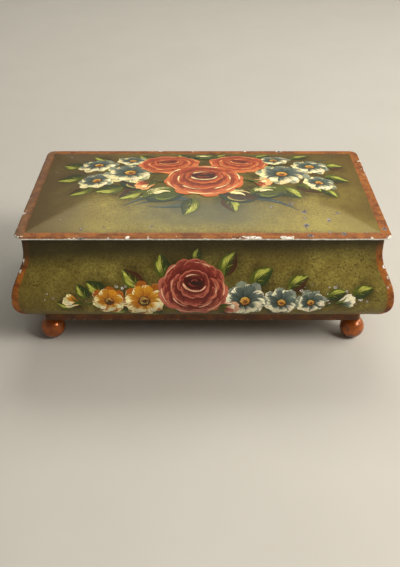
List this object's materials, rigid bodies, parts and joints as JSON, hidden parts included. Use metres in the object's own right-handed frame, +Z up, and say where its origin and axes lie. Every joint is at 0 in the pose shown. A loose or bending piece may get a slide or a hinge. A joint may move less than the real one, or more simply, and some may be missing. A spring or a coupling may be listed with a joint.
{
  "type": "hinged tin box",
  "caption": "Small painted tin box with bulging ogee sides, a shallow domed lid hinged at the back, a plinth band and ball feet, for papers and keepsakes.",
  "frame": {"origin": "on the surface that the box stands on, under the middle of its outline", "axes": "+X along the box's length, to its right as seen from the front; +Y from the front to the hinged back; +Z up"},
  "size_m": [0.2094, 0.1224, 0.0789],
  "materials": {
    "painted_body": "aged olive-green varnish with copper-painted borders and a painted flower spray",
    "painted_lid": "aged olive-green varnish with a copper-painted border, a painted flower spray and a worn edge",
    "copper_paint": "worn copper-brown paint",
    "ball_feet": "glossy copper paint over turned wood",
    "brass_screws": "dull brass",
    "hinge_brass": "tarnished brass",
    "steel_wire": "drawn wire"
  },
  "bodies": {
    "case": {"body_front": "painted_body", "body_back": "painted_body", "body_left_end": "painted_body", "body_right_end": "painted_body", "plinth_band": "copper_paint", "base_plate": "copper_paint", "foot_front_left": "ball_feet", "foot_front_right": "ball_feet", "foot_back_left": "ball_feet", "foot_back_right": "ball_feet", "screw_front_left": "brass_screws", "screw_front_right": "brass_screws", "screw_back_left": "brass_screws", "screw_back_right": "brass_screws", "hinge_left_body_leaf": "hinge_brass", "hinge_left_pin": "steel_wire", "hinge_right_body_leaf": "hinge_brass", "hinge_right_pin": "steel_wire"},
    "lid": {"lid_panel": "painted_lid", "lid_rim_wire": "steel_wire", "hinge_left_lid_leaf": "hinge_brass", "hinge_right_lid_leaf": "hinge_brass"}
  },
  "joints": [
    {"name": "lid_hinge", "type": "hinge", "parent": "case", "child": "lid", "pos_m": [0, 0.05391, 0.07167], "axis": [-1, 0, 0], "range_deg": [0, 105]}
  ]
}
